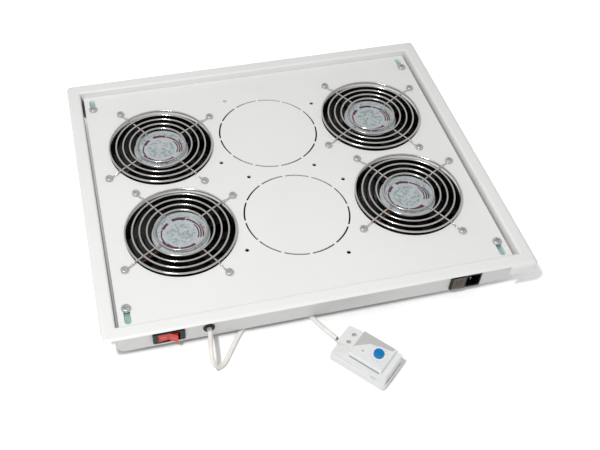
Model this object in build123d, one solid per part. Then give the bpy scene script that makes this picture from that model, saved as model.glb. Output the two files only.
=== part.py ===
from build123d import *
import math
import os

# Rack fan tray. Millimetres, +Z up, front wall towards -Y, origin on the ground under the middle of the tray.

# Folded sheet frame, whose opening takes three columns and two rows of fan squares and the room around them
SHEET = 1.5
SIDE_ROOM = 21.5
FRONT_ROOM = 49.2
BACK_ROOM = 44.8
FLANGE_SIDE = 15.0
FLANGE_END = 16.0
FLANGE_RISE = 8.5
LIP_H = 13.5
EDGE_R = 4.5
CORNER_EXTRA_R = 0.5
WALL_CORNER_R = 2.0
WALL_SNIP_R = 8.0
RIM_R = 2.5
LIP_LEFT_W = 30.0
EAR_CUT = 18.0
NOTCH_LEFT = 1.6
GROUND_GAP = 6.5
LEDGE_W = 7.0
TAB_W = 20.0
TAB_D = 32.0

# Fan plate
PLATE_GAP_SIDE = 3.2
PLATE_GAP_END = 0.3
PLATE_CORNER_R = 1.5
COLUMN_GAP = 7.0
ROW_GAP = 11.0
FAN_TURN = -14.0
PLATE_HOLE_OVER = 1.0
KNOCK_INSET = 0.9
KNOCK_SLOT = 1.8
KNOCK_BRIDGE = 3.0
KNOCK_COUNT = 12
CORNER_SLOT_L = 21.0
CORNER_INSET_X = 12.5
CORNER_INSET_Y = 24.2
SLOT_BACK = 3.0

# Corner screws and nut plates
CORNER_SHANK_R = 2.45
CORNER_SLOT_CLEAR = 0.8
CORNER_HEAD_OVER = 1.5
CORNER_HEAD_H = 3.2
NUT_PLATE_OVER_W = 2.5
NUT_PLATE_OVER_L = 2.0
NUT_PLATE_T = 3.0
NUT_PLATE_R = 1.0
THREAD_CLEAR = 0.05
HOLE_CLEAR = 0.3
TAIL = 1.0
HEAD_ROUND_SHARE = 0.45
CROSS_LONG_SHARE = 1.1
CROSS_WIDE_SHARE = 0.28

# Fans
FAN_SIZE = 119.0
FAN_DEPTH = 38.0
FAN_CORNER_R = 5.0
FAN_FLANGE = 4.5
FAN_HOLE_INSET = 7.0
BARREL_WALL = 1.7
BARREL_INSET = 0.3
BORE_FLARE = 1.2
FAN_SHANK_R = 1.95
FAN_HEAD_OVER = 0.8
FAN_HEAD_H = 2.4
FAN_NUT_WALL = 2.05
FAN_NUT_H = 3.2
BASE_R = 31.5
BASE_T = 3.2
BASE_DROP = 0.7
STRUT_W = 6.0
STRUT_ROOT_W = 9.0
ARM_TURN = 45.0
STRUT_T = 3.0
STRUT_COUNT = 4
COVER_T = 0.3
COVER_INSET = 1.0
TUBE_WALL = 2.5
TUBE_SHOULDER = 1.3
TUBE_GAP = 3.5
BEARING_R = 4.5
BEARING_H = 4.0
SHAFT_R = 1.5
COLLAR_STEP = 0.9
RUN_CLEAR = 0.05
FIT_CLEAR = 0.05
HUB_R = 32.0
HUB_WALL = 2.0
HUB_FLOOR = 2.5
HUB_BOTTOM = 6.0
HUB_GAP = 1.0
TIP_GAP = 1.2
BLADE_COUNT = 7
BLADE_T = 1.8
BLADE_LOW = 2.0
BLADE_HIGH = 2.0
BLADE_ROOT_HALF = 11.0
BLADE_TIP_HALF = 23.0
BLADE_CAMBER = 3.0
STACK_CLEAR = 6.0
STACK_GAP = 5.6
COIL_STEP = 5.0
COIL_H = 4.0
STACK_SLOTS = 4
STACK_SLOT_W = 5.0
STACK_SLOT_DEEP = 4.75
LEAD_R = 0.9
LEAD_GAP = 2.6

# Wire guards
WIRE_R = 1.0
RING_OVER = 0.5
RING_PITCH = 7.6
RING_COUNT = 5
RING_RISE = 5.0
CROSS_RISE = 3.2
EYE_CLEAR = 0.25
FOOT_RUN = 5.0
FOOT_SLOPE = 4.0
FOOT_BEND = 1.5

# Front wall fittings, placed from the ends of the wall
FITTINGS_RISE = 12.5
SWITCH_INSET = 49.0
SWITCH_LAP_W = 1.7
SWITCH_LAP_H = 0.8
SWITCH_WALL_W = 3.7
SWITCH_WALL_H = 0.9
SWITCH_BODY_D = 19.0
BEZEL_T = 2.0
BEZEL_R = 1.5
CUT_CLEAR = 0.2
ROCKER_HALF = 9.6
ROCKER_H = 11.4
ROCKER_PIVOT = 2.0
ROCKER_RISE = 3.4
ROCKER_VALLEY = 1.6
ROCKER_KEEL = 6.0
ROCKER_KEEL_HALF = 5.0
ROCKER_TILT = -12.0
ROCKER_SIDE = 0.4
ROCKER_END = 1.0
PIN_R = 1.2
PIN_OUT = 0.7
WELL_FLOOR = 1.6
SPADE_W = 4.8
SPADE_T = 0.8
SPADE_L = 7.5
SPADE_PITCH = 8.0
GROMMET_STEP = 39.7
GROMMET_RISE = 1.5
GROMMET_LAP = 1.4
GROMMET_NECK_R = 4.4
GROMMET_LIP = 1.6
GROMMET_ROUND = 0.7
GROMMET_CLEAR = 0.1
INLET_INSET = 54.5
INLET_LAP_W = 0.4
INLET_LAP_H = 1.0
INLET_R = 2.0
INLET_BACK = 8.0
SOCKET_X = 8.0
SOCKET_W = 15.0
SOCKET_H = 17.0
SOCKET_R = 3.0
SOCKET_DEEP = 16.0
SOCKET_WALL_W = 1.1
SOCKET_WALL_H = 1.5
CONTACT_W = 1.6
CONTACT_H = 4.0
CONTACT_OUT = 11.0
CONTACT_TAB = 8.0
CONTACT_PITCH = 7.0
CONTACT_RISE = 3.5
CONTACT_DROP = 3.5
DRAWER_X = -8.6
DRAWER_W = 11.6
DRAWER_H = 16.0
DRAWER_NOSE = 1.7
DRAWER_LAP_W = 0.9
DRAWER_LAP_H = 1.0
DRAWER_FACE_T = 1.2
DRAWER_CLEAR = 0.2
DRAWER_WALL = 1.6
DRAWER_RIBS = 5
DRAWER_RIB_W = 0.8
DRAWER_RIB_OUT = 0.4
DRAWER_RIB_L = 10.8
FUSE_R = 2.6
FUSE_L = 14.5
FUSE_CLEAR = 0.1

# Thermostat on the cable, its heights measured down from the flat top
THERMO_X = 24.7
THERMO_Y = -234.3
THERMO_TURN = -49.5
THERMO_L = 62.0
THERMO_W = 33.0
BASE_H = 9.0
COVER_H = 27.0
FLAT_FROM_END = 18.5
FLAT_TO_END = 7.5
COVER_STEP = 3.0
COVER_SIDE = 1.2
COVER_R = 1.0
COVER_END_R = 3.0
TERMINAL_STEP = 3.0
TERMINAL_DROP = 5.5
RAMP_STEP = 1.5
RAMP_DROP = 14.0
RAMP_SIDE = 7.0
GRIP_DROP = 3.2
GRIP_H = 2.3
GRIP_DEEP = 1.2
GRIP_L = 33.0
LATCH_FROM_END = 13.5
LATCH_L = 5.5
LATCH_H = 1.8
BASE_CORNER_R = 2.5
DIAL_FROM_END = 19.0
DIAL_R = 5.0
DIAL_H = 3.4
DIAL_GAP = 0.3
DIAL_STEM_R = 2.0
DIAL_STEM_L = 8.0
DIAL_SLOT_W = 1.0
DIAL_SLOT_DEEP = 0.6
SCALE_R = 9.0
SCALE_T = 0.4
CLAMP_FROM_END = 11.5
CLAMP_PITCH = 10.3
CLAMP_SHIFT = 2.7
CLAMP_GAP = 0.3
CLAMP_SCREW_R = 2.0
CLAMP_SCREW_H = 5.0
CLAMP_DROP = 11.5
CLIP_W = 20.0
CLIP_L = 40.0
CLIP_T = 2.0
CLIP_HOOK = 3.0
CLIP_CLEAR = 0.15

# Control cable
CABLE_R = 2.35
RUN_SHARE = 0.45
CORE_R = 1.1
CORE_CLEAR = 0.2
CORE_IN = 3.5
CABLE_TAIL = 7.5
CABLE_NOSE = 6.6

# Places that follow from the sizes above
PITCH_X = FAN_SIZE + COLUMN_GAP
PITCH_Y = FAN_SIZE + ROW_GAP
OPENING_W = 2 * PITCH_X + FAN_SIZE + 2 * SIDE_ROOM
OPENING_D = PITCH_Y + FAN_SIZE + FRONT_ROOM + BACK_ROOM
FRAME_W = OPENING_W + 2 * FLANGE_SIDE
FRAME_D = OPENING_D + 2 * FLANGE_END
FRAME_CORNER_R = EDGE_R + CORNER_EXTRA_R
BOX_W = OPENING_W + 2 * SHEET
BOX_D = OPENING_D + 2 * SHEET
PLATE_TOP = FAN_DEPTH + SHEET
FLANGE_TOP = PLATE_TOP + FLANGE_RISE
WALL_IN_Y = -OPENING_D / 2
WALL_OUT_Y = WALL_IN_Y - SHEET
PLATE_W = OPENING_W - 2 * PLATE_GAP_SIDE
PLATE_D = OPENING_D - 2 * PLATE_GAP_END
GRID_Y = (FRONT_ROOM - BACK_ROOM) / 2
COLUMNS = (-PITCH_X, 0, PITCH_X)
ROWS = (GRID_Y + PITCH_Y / 2, GRID_Y - PITCH_Y / 2)
FAN_PLACES = [(x, y) for y in ROWS for x in (COLUMNS[0], COLUMNS[2])]
KNOCK_PLACES = [(COLUMNS[1], y) for y in ROWS]
CORNER_X = OPENING_W / 2 - CORNER_INSET_X
CORNER_Y = OPENING_D / 2 - CORNER_INSET_Y
CORNERS = [(sx * CORNER_X, sy * CORNER_Y) for sy in (1, -1) for sx in (-1, 1)]
CORNER_SLOT_W = 2 * (CORNER_SHANK_R + CORNER_SLOT_CLEAR)
CORNER_HEAD_R = CORNER_SLOT_W / 2 + CORNER_HEAD_OVER
NUT_PLATE_W = CORNER_SLOT_W + 2 * NUT_PLATE_OVER_W
NUT_PLATE_L = CORNER_SLOT_L + 2 * NUT_PLATE_OVER_L
FAN_HOLES = FAN_SIZE - 2 * FAN_HOLE_INSET
BORE_R = FAN_SIZE / 2 - BARREL_INSET - BARREL_WALL
PLATE_HOLE_R = BORE_R + PLATE_HOLE_OVER
KNOCK_R = BORE_R - KNOCK_INSET
RING_R = BORE_R + RING_OVER
EYE_R = FAN_SHANK_R + EYE_CLEAR + WIRE_R
EYE_DIST = FAN_HOLES / math.sqrt(2)
FAN_HEAD_R = EYE_R + FAN_HEAD_OVER
FAN_NUT_R = FAN_SHANK_R + FAN_NUT_WALL
BASE_TOP = FAN_DEPTH - BASE_DROP
BASE_LOW = BASE_TOP - BASE_T
HUB_TOP = BASE_LOW - HUB_GAP
FLOOR_TOP = HUB_BOTTOM + HUB_FLOOR
ROTOR_R = BORE_R - TIP_GAP
TUBE_R = BEARING_R + TUBE_WALL
TUBE_BORE = BEARING_R - TUBE_SHOULDER
TUBE_BOTTOM = FLOOR_TOP + TUBE_GAP
COLLAR_R = SHAFT_R + COLLAR_STEP
STACK_R = HUB_R - HUB_WALL - STACK_CLEAR
COIL_R = STACK_R - COIL_STEP
STACK_LOW = FLOOR_TOP + STACK_GAP + COIL_H
STACK_H = BASE_LOW - COIL_H - STACK_LOW
FITTINGS_Z = GROUND_GAP + FITTINGS_RISE
WELL_W = 2 * (ROCKER_HALF + ROCKER_END)
WELL_H = ROCKER_H + 2 * ROCKER_SIDE
SWITCH_X = SWITCH_INSET - OPENING_W / 2
SWITCH_BODY_W = WELL_W + 2 * SWITCH_WALL_W
SWITCH_BODY_H = WELL_H + 2 * SWITCH_WALL_H
SWITCH_W = SWITCH_BODY_W + 2 * SWITCH_LAP_W
SWITCH_H = SWITCH_BODY_H + 2 * SWITCH_LAP_H
ROCKER_Y = WALL_OUT_Y + ROCKER_PIVOT
GROMMET_X = SWITCH_X + GROMMET_STEP
GROMMET_Z = FITTINGS_Z + GROMMET_RISE
GROMMET_R = GROMMET_NECK_R + GROMMET_LAP
INLET_X = OPENING_W / 2 - INLET_INSET
INLET_BODY_W = 2 * SOCKET_X + SOCKET_W + 2 * SOCKET_WALL_W
INLET_BODY_H = SOCKET_H + 2 * SOCKET_WALL_H
INLET_W = INLET_BODY_W + 2 * INLET_LAP_W
INLET_H = INLET_BODY_H + 2 * INLET_LAP_H
CRADLE_L = FUSE_L + 2 * FUSE_CLEAR
DRAWER_DEEP = DRAWER_NOSE + CRADLE_L + DRAWER_WALL
DRAWER_FACE_W = DRAWER_W + 2 * DRAWER_LAP_W
DRAWER_FACE_H = DRAWER_H + 2 * DRAWER_LAP_H
INLET_BODY_D = DRAWER_DEEP - BEZEL_T + INLET_BACK
FLAT_FROM = FLAT_FROM_END - THERMO_L / 2
FLAT_TO = THERMO_L / 2 - FLAT_TO_END
LATCH_X = THERMO_L / 2 - LATCH_FROM_END
DIAL_X = THERMO_L / 2 - DIAL_FROM_END
CLAMP_X = CLAMP_FROM_END - THERMO_L / 2
CLAMP_LOW = COVER_H - CLAMP_DROP
CLAMP_HOLE_R = CLAMP_SCREW_R + CLAMP_GAP

# Centre line of the cable, from behind the grommet to the thermostat
CABLE_POINTS = [
    (GROMMET_X, WALL_OUT_Y + CABLE_TAIL, GROMMET_Z),
    (GROMMET_X, WALL_OUT_Y - CABLE_NOSE, GROMMET_Z),
    (-126.0, -199.0, 26.2),
    (-120.2, -214.5, 13.9),
    (-103.7, -210.1, 2.4),
    (-98.1, -190.2, 2.4),
    (-84.1, -169.1, 2.8),
    (-63.4, -151.7, 2.5),
    (-41.2, -139.3, 2.5),
    (-22.3, -146.5, 2.5),
    (-11.3, -165.2, 2.5),
    (-5.7, -182.1, 5.0),
    (-6.2, -196.6, 11.0),
    (3.1, -207.4, 11.0),
]


def slab(w, d, r, low, high):
    """Upright block with rounded corners between two heights."""
    return extrude(Pos(0, 0, low) * RectangleRounded(w, d, r), high - low)


def rod(r, low, high):
    """Upright cylinder between two heights."""
    return extrude(Pos(0, 0, low) * Circle(r), high - low)


def ring(outer, inner, low, high):
    """Upright ring between two heights."""
    return rod(outer, low, high) - rod(inner, low, high)


def wall_block(x, z, w, h, y_from, y_to, r):
    """Block with rounded corners that runs back from the front wall."""
    plane = Plane((x, y_to, z), x_dir=(1, 0, 0), z_dir=(0, -1, 0))
    return extrude(plane * RectangleRounded(w, h, r), y_to - y_from)


def square_spots(side, turn=0.0):
    """Four corners of a square, turned about its centre."""
    return [Rot(0, 0, turn) * Pos(x * side / 2, y * side / 2, 0) for y in (1, -1) for x in (-1, 1)]


def fan_spot(place):
    return Pos(place[0], place[1], 0) * Rot(0, 0, FAN_TURN)


def hexagon(r, low, high, bore):
    return extrude(Pos(0, 0, low) * RegularPolygon(r, 6), high - low) - rod(bore, low, high)


def pan_screw(head_r, head_h, shank_r, seat, low):
    """Round-headed screw with a cross recess, its head on the seat height."""
    head = rod(head_r, seat, seat + head_h)
    head = fillet(head.faces().sort_by(Axis.Z)[-1].edges(), head_h * HEAD_ROUND_SHARE)
    bar = Pos(0, 0, seat + head_h) * Box(head_r * CROSS_LONG_SHARE, head_r * CROSS_WIDE_SHARE, head_h)
    for turn in (0, 90):
        head -= Rot(0, 0, turn) * bar
    return head + rod(shank_r, low, seat)


def folded_rim():
    """Flange with its rounded outer edge and the lip below it."""
    low = FLANGE_TOP - LIP_H
    outer = slab(FRAME_W, FRAME_D, FRAME_CORNER_R, low, FLANGE_TOP)
    outer = fillet(outer.faces().sort_by(Axis.Z)[-1].edges(), EDGE_R)
    inner = slab(FRAME_W - 2 * SHEET, FRAME_D - 2 * SHEET, FRAME_CORNER_R - SHEET, low, FLANGE_TOP - SHEET)
    inner = fillet(inner.faces().sort_by(Axis.Z)[-1].edges(), EDGE_R - SHEET)
    return outer - inner - slab(BOX_W, BOX_D, WALL_CORNER_R, low, FLANGE_TOP)


def lip_notches():
    """The lip is cut away along the front as far as its right end, and round the left corner."""
    high = LIP_H - NOTCH_LEFT
    mid = FLANGE_TOP - LIP_H + high / 2
    deep = 2 * EDGE_R + SHEET
    front = Pos(-LIP_LEFT_W / 2, -FRAME_D / 2, mid) * Box(FRAME_W - LIP_LEFT_W, deep, high)
    ear = Pos(-FRAME_W / 2, (EAR_CUT - FRAME_D) / 2, mid) * Box(deep, EAR_CUT, high)
    return front + ear


def wall_snips():
    """Rounded cuts at the lower ends of the front and back walls."""
    cuts = []
    for sx in (-1, 1):
        for sy in (-1, 1):
            spot = Pos(sx * BOX_W / 2, sy * BOX_D / 2, GROUND_GAP)
            block = spot * Box(2 * WALL_SNIP_R, 2 * WALL_SNIP_R, 2 * WALL_SNIP_R)
            round_off = Pos(-sx * WALL_SNIP_R, 0, WALL_SNIP_R) * Rot(90, 0, 0)
            cuts.append(block - spot * round_off * Cylinder(WALL_SNIP_R, 4 * WALL_SNIP_R))
    return cuts


def corner_slot(x, y, low, high):
    """Long slot for a corner screw, reaching towards the front or back wall."""
    out = math.copysign(CORNER_SLOT_L / 2 - SLOT_BACK, y)
    slot = SlotOverall(CORNER_SLOT_L, CORNER_SLOT_W, rotation=90)
    return extrude(Pos(x, y + out, low) * slot, high - low)


def ledges():
    """Shelves on the front and back walls with a wider tab at each end."""
    low = FAN_DEPTH - SHEET
    body = slab(PLATE_W, OPENING_D + SHEET, WALL_CORNER_R, low, FAN_DEPTH)
    body -= slab(OPENING_W, OPENING_D - 2 * LEDGE_W, WALL_CORNER_R, low, FAN_DEPTH)
    for sx in (-1, 1):
        for sy in (-1, 1):
            spot = Pos(sx * (PLATE_W - TAB_W) / 2, sy * (OPENING_D - TAB_D) / 2, 0)
            body += spot * slab(TAB_W, TAB_D, SHEET, low, FAN_DEPTH)
    for x, y in CORNERS:
        body -= corner_slot(x, y, low, FAN_DEPTH)
    return body


def mounting_frame():
    walls = slab(BOX_W, BOX_D, WALL_CORNER_R, GROUND_GAP, FLANGE_TOP)
    walls -= slab(OPENING_W, OPENING_D, WALL_CORNER_R - SHEET, GROUND_GAP, FLANGE_TOP)
    for cut in wall_snips():
        walls -= cut
    body = folded_rim() + walls
    body = fillet(body.faces().sort_by(Axis.Z)[-1].inner_wires()[0].edges(), RIM_R)
    body = body - lip_notches() + ledges()
    body -= wall_block(SWITCH_X, FITTINGS_Z, SWITCH_BODY_W + CUT_CLEAR, SWITCH_BODY_H + CUT_CLEAR,
                       WALL_OUT_Y - SHEET, WALL_IN_Y + SHEET, BEZEL_R)
    body -= wall_block(INLET_X, FITTINGS_Z, INLET_BODY_W + CUT_CLEAR, INLET_BODY_H + CUT_CLEAR,
                       WALL_OUT_Y - SHEET, WALL_IN_Y + SHEET, INLET_R)
    bore = Plane((GROMMET_X, WALL_IN_Y + SHEET, GROMMET_Z), x_dir=(1, 0, 0), z_dir=(0, -1, 0))
    body -= extrude(bore * Circle(GROMMET_NECK_R + FIT_CLEAR), 3 * SHEET)
    return body


def knock_out():
    """Ring of slots that leaves a round blank hanging on its bridges."""
    slots = ring(KNOCK_R + KNOCK_SLOT / 2, KNOCK_R - KNOCK_SLOT / 2, FAN_DEPTH, PLATE_TOP)
    for i in range(KNOCK_COUNT):
        bar = Pos(KNOCK_R, 0, FAN_DEPTH + SHEET / 2) * Box(3 * KNOCK_SLOT, KNOCK_BRIDGE, 2 * SHEET)
        slots -= Rot(0, 0, i * 360 / KNOCK_COUNT) * bar
    return slots


def fan_plate():
    body = slab(PLATE_W, PLATE_D, PLATE_CORNER_R, FAN_DEPTH, PLATE_TOP)
    for place in FAN_PLACES:
        body -= fan_spot(place) * rod(PLATE_HOLE_R, FAN_DEPTH, PLATE_TOP)
    for x, y in KNOCK_PLACES:
        body -= Pos(x, y, 0) * knock_out()
    for place in FAN_PLACES + KNOCK_PLACES:
        for spot in square_spots(FAN_HOLES):
            body -= fan_spot(place) * spot * rod(FAN_SHANK_R + HOLE_CLEAR, FAN_DEPTH, PLATE_TOP)
    for x, y in CORNERS:
        body -= corner_slot(x, y, FAN_DEPTH, PLATE_TOP)
    return body


def corner_screws():
    low = FAN_DEPTH - SHEET - NUT_PLATE_T - TAIL
    one = pan_screw(CORNER_HEAD_R, CORNER_HEAD_H, CORNER_SHANK_R, PLATE_TOP, low)
    return Compound(children=[Pos(x, y, 0) * one for x, y in CORNERS])


def corner_nuts():
    """Threaded plates that close the slots from below."""
    top = FAN_DEPTH - SHEET
    parts = []
    for x, y in CORNERS:
        out = math.copysign(CORNER_SLOT_L / 2 - SLOT_BACK, y)
        block = Pos(x, y + out, 0) * slab(NUT_PLATE_W, NUT_PLATE_L, NUT_PLATE_R, top - NUT_PLATE_T, top)
        parts.append(block - Pos(x, y, 0) * rod(CORNER_SHANK_R + THREAD_CLEAR, top - NUT_PLATE_T, top))
    return Compound(children=parts)


def strut(angle):
    """Tapered arm from the motor base to the barrel."""
    reach = BORE_R + BARREL_WALL / 2
    start = BASE_R - COVER_INSET
    outline = Polygon((start, -STRUT_ROOT_W / 2), (reach, -STRUT_W / 2), (reach, STRUT_W / 2),
                      (start, STRUT_ROOT_W / 2), align=None)
    return Rot(0, 0, angle) * extrude(Pos(0, 0, BASE_TOP - STRUT_T) * outline, STRUT_T)


def lead_offsets():
    return (-LEAD_GAP / 2, LEAD_GAP / 2)


def lead_angle():
    """Strut that carries the two leads, nearest to the front left."""
    return ARM_TURN + 2 * 360 / STRUT_COUNT


def fan_housing():
    body = slab(FAN_SIZE, FAN_SIZE, FAN_CORNER_R, 0, FAN_DEPTH)
    barrel_r = FAN_SIZE / 2 - BARREL_INSET
    waist = slab(2 * FAN_SIZE, 2 * FAN_SIZE, FAN_CORNER_R, FAN_FLANGE, FAN_DEPTH - FAN_FLANGE)
    body -= waist - rod(barrel_r, FAN_FLANGE, FAN_DEPTH - FAN_FLANGE)
    body -= rod(BORE_R, 0, FAN_DEPTH)
    rims = body.edges().filter_by(GeomType.CIRCLE).filter_by(lambda e: abs(e.radius - BORE_R) < FIT_CLEAR)
    body = chamfer(rims, BORE_FLARE)
    for spot in square_spots(FAN_HOLES):
        body -= spot * rod(FAN_SHANK_R + HOLE_CLEAR, 0, FAN_DEPTH)
    body += rod(BASE_R, BASE_LOW, BASE_TOP)
    body += rod(TUBE_R, TUBE_BOTTOM, BASE_LOW)
    for i in range(STRUT_COUNT):
        body += strut(ARM_TURN + i * 360 / STRUT_COUNT)
    body -= rod(TUBE_BORE, TUBE_BOTTOM, BASE_TOP)
    body -= rod(BEARING_R, TUBE_BOTTOM, TUBE_BOTTOM + BEARING_H)
    body -= rod(BEARING_R, BASE_LOW - BEARING_H, BASE_TOP)
    for offset in lead_offsets():
        groove = Rot(0, 0, lead_angle()) * lead(offset, FIT_CLEAR, SHEET)
        body -= groove
    return body


def lead(offset, clear, extra):
    """Wire along the top of a strut, through the barrel wall."""
    start = BASE_R
    end = FAN_SIZE / 2 + BARREL_WALL + extra
    plane = Plane((start - extra, offset, BASE_TOP - LEAD_R), x_dir=(0, 1, 0), z_dir=(1, 0, 0))
    return extrude(plane * Circle(LEAD_R + clear), end - start + extra)


def fan_leads():
    pair = [Rot(0, 0, lead_angle()) * lead(offset, 0, 0) for offset in lead_offsets()]
    return Compound(children=[fan_spot(place) * one for place in FAN_PLACES for one in pair])


def blade_section(x, half, low, high):
    """Thin cambered strip across the blade at one distance from the shaft."""
    plane = Plane((x, 0, 0), x_dir=(0, 1, 0), z_dir=(1, 0, 0))
    mid = (low + high) / 2
    rise = high - low
    long = math.hypot(2 * half, rise)
    nx = rise / long * BLADE_T / 2
    nz = 2 * half / long * BLADE_T / 2
    bow_y = rise / long * BLADE_CAMBER
    bow_z = 2 * half / long * BLADE_CAMBER
    upper = ThreePointArc((-half + nx, high + nz), (bow_y + nx, mid + bow_z + nz), (half + nx, low + nz))
    lower = ThreePointArc((half - nx, low - nz), (bow_y - nx, mid + bow_z - nz), (-half - nx, high - nz))
    back = Line(upper @ 1, lower @ 0)
    front = Line(lower @ 1, upper @ 0)
    return plane * make_face(Curve() + [upper, back, lower, front])


def fan_rotor():
    low = HUB_BOTTOM + BLADE_LOW
    high = HUB_TOP - BLADE_HIGH
    inside = blade_section(HUB_R - 3 * HUB_WALL, BLADE_ROOT_HALF, low, high)
    outside = blade_section(BORE_R + TIP_GAP, BLADE_TIP_HALF, low, high)
    blade = loft([inside, outside])
    body = rod(HUB_R, HUB_BOTTOM, HUB_TOP)
    body = fillet(body.faces().sort_by(Axis.Z)[0].edges(), HUB_WALL)
    for i in range(BLADE_COUNT):
        body += Rot(0, 0, i * 360 / BLADE_COUNT) * blade
    body &= rod(ROTOR_R, 0, FAN_DEPTH)
    body -= rod(HUB_R - HUB_WALL, FLOOR_TOP, HUB_TOP)
    return body - rod(SHAFT_R, HUB_BOTTOM, FLOOR_TOP)


def fan_shaft():
    body = rod(SHAFT_R, HUB_BOTTOM, BASE_LOW + COLLAR_R / 2)
    return body + rod(COLLAR_R, FLOOR_TOP, TUBE_BOTTOM - RUN_CLEAR)


def fan_bearings():
    outer = BEARING_R - FIT_CLEAR
    inner = SHAFT_R + RUN_CLEAR
    low = ring(outer, inner, TUBE_BOTTOM, TUBE_BOTTOM + BEARING_H)
    high = ring(outer, inner, BASE_LOW - BEARING_H, BASE_LOW)
    return Compound(children=[low, high])


def fan_stator():
    """Slotted stack between two coil rings, seated under the motor base."""
    bore = TUBE_R + FIT_CLEAR
    stack = ring(STACK_R, bore, STACK_LOW, STACK_LOW + STACK_H)
    for i in range(STACK_SLOTS):
        cut = Pos(STACK_R, 0, STACK_LOW + STACK_H / 2) * Box(2 * STACK_SLOT_DEEP, STACK_SLOT_W, 2 * STACK_H)
        stack -= Rot(0, 0, i * 360 / STACK_SLOTS) * cut
    return stack + ring(COIL_R, bore, STACK_LOW - COIL_H, BASE_LOW)


def hub_cover():
    return rod(BASE_R - COVER_INSET, BASE_TOP, BASE_TOP + COVER_T)


def finger_guard():
    """Welded wire guard: rings on four bent arms with an eye at each screw."""
    low = PLATE_TOP + WIRE_R
    cross = PLATE_TOP + CROSS_RISE
    last = RING_R - (RING_COUNT - 1) * RING_PITCH
    body = Part()
    for i in range(RING_COUNT):
        body += Pos(0, 0, PLATE_TOP + RING_RISE) * Torus(RING_R - i * RING_PITCH, WIRE_R)
    foot = EYE_DIST - EYE_R
    line = FilletPolyline((foot, 0, low), (foot - FOOT_RUN, 0, low), (foot - FOOT_RUN - FOOT_SLOPE, 0, cross),
                          (last - WIRE_R, 0, cross), radius=FOOT_BEND)
    arm = sweep(Plane(line @ 0, z_dir=line % 0) * Circle(WIRE_R), path=line)
    arm += Pos(EYE_DIST, 0, low) * Torus(EYE_R, WIRE_R)
    for i in range(STRUT_COUNT):
        body += Rot(0, 0, ARM_TURN + i * 360 / STRUT_COUNT) * arm
    return body


def guard_screws():
    seat = PLATE_TOP + 2 * WIRE_R
    low = FAN_DEPTH - FAN_FLANGE - FAN_NUT_H - TAIL
    one = pan_screw(FAN_HEAD_R, FAN_HEAD_H, FAN_SHANK_R, seat, low)
    return Compound(children=[fan_spot(p) * s * one for p in FAN_PLACES for s in square_spots(FAN_HOLES)])


def guard_nuts():
    top = FAN_DEPTH - FAN_FLANGE
    one = hexagon(FAN_NUT_R, top - FAN_NUT_H, top, FAN_SHANK_R + THREAD_CLEAR)
    return Compound(children=[fan_spot(p) * s * one for p in FAN_PLACES for s in square_spots(FAN_HOLES)])


def switch_body():
    """Bezel and body with a well for the rocker and two bearing holes."""
    front = WALL_OUT_Y - BEZEL_T
    body = wall_block(SWITCH_X, FITTINGS_Z, SWITCH_W, SWITCH_H, front, WALL_OUT_Y, BEZEL_R)
    body = fillet(body.faces().sort_by(Axis.Y)[0].edges(), BEZEL_T / 3)
    back = WALL_OUT_Y + SWITCH_BODY_D
    body += wall_block(SWITCH_X, FITTINGS_Z, SWITCH_BODY_W, SWITCH_BODY_H, WALL_OUT_Y, back, BEZEL_R)
    deep = ROCKER_Y + ROCKER_KEEL + WELL_FLOOR
    body -= Pos(SWITCH_X, (front + deep) / 2, FITTINGS_Z) * Box(WELL_W, deep - front, WELL_H)
    pin = rod(PIN_R + RUN_CLEAR, -ROCKER_H / 2 - PIN_OUT - RUN_CLEAR, ROCKER_H / 2 + PIN_OUT + RUN_CLEAR)
    return body - Pos(SWITCH_X, ROCKER_Y, FITTINGS_Z) * pin


def switch_rocker():
    """Rocker with a shallow valley, pressed in on its left side."""
    top = ROCKER_PIVOT + BEZEL_T
    outline = Polygon((-ROCKER_HALF, -top - ROCKER_RISE + ROCKER_VALLEY), (0, -top + ROCKER_VALLEY / 2),
                      (ROCKER_HALF, -top - ROCKER_RISE + ROCKER_VALLEY), (ROCKER_HALF, 0),
                      (ROCKER_KEEL_HALF, ROCKER_KEEL), (-ROCKER_KEEL_HALF, ROCKER_KEEL),
                      (-ROCKER_HALF, 0), align=None)
    body = extrude(Pos(0, 0, -ROCKER_H / 2) * outline, ROCKER_H)
    body += rod(PIN_R, -ROCKER_H / 2 - PIN_OUT, ROCKER_H / 2 + PIN_OUT)
    return Pos(SWITCH_X, ROCKER_Y, FITTINGS_Z) * Rot(0, 0, ROCKER_TILT) * body


def spade(x, y, z):
    return Pos(x, y + SPADE_L / 2, z) * Box(SPADE_T, SPADE_L, SPADE_W)


def switch_terminals():
    y = WALL_OUT_Y + SWITCH_BODY_D
    return Compound(children=[spade(SWITCH_X + s * SPADE_PITCH / 2, y, FITTINGS_Z) for s in (-1, 1)])


def cable_grommet():
    """Rubber bush that holds the edge of the hole between two lips."""
    bore = CABLE_R + GROMMET_CLEAR
    body = rod(GROMMET_R, 0, GROMMET_LIP)
    body = fillet(body.faces().sort_by(Axis.Z)[0].edges(), GROMMET_ROUND)
    body += rod(GROMMET_NECK_R, GROMMET_LIP, GROMMET_LIP + SHEET)
    back = rod(GROMMET_R, GROMMET_LIP + SHEET, 2 * GROMMET_LIP + SHEET)
    body += fillet(back.faces().sort_by(Axis.Z)[-1].edges(), GROMMET_ROUND)
    body -= rod(bore, 0, 2 * GROMMET_LIP + SHEET)
    return Pos(GROMMET_X, WALL_OUT_Y - GROMMET_LIP, GROMMET_Z) * Rot(-90, 0, 0) * body


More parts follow.
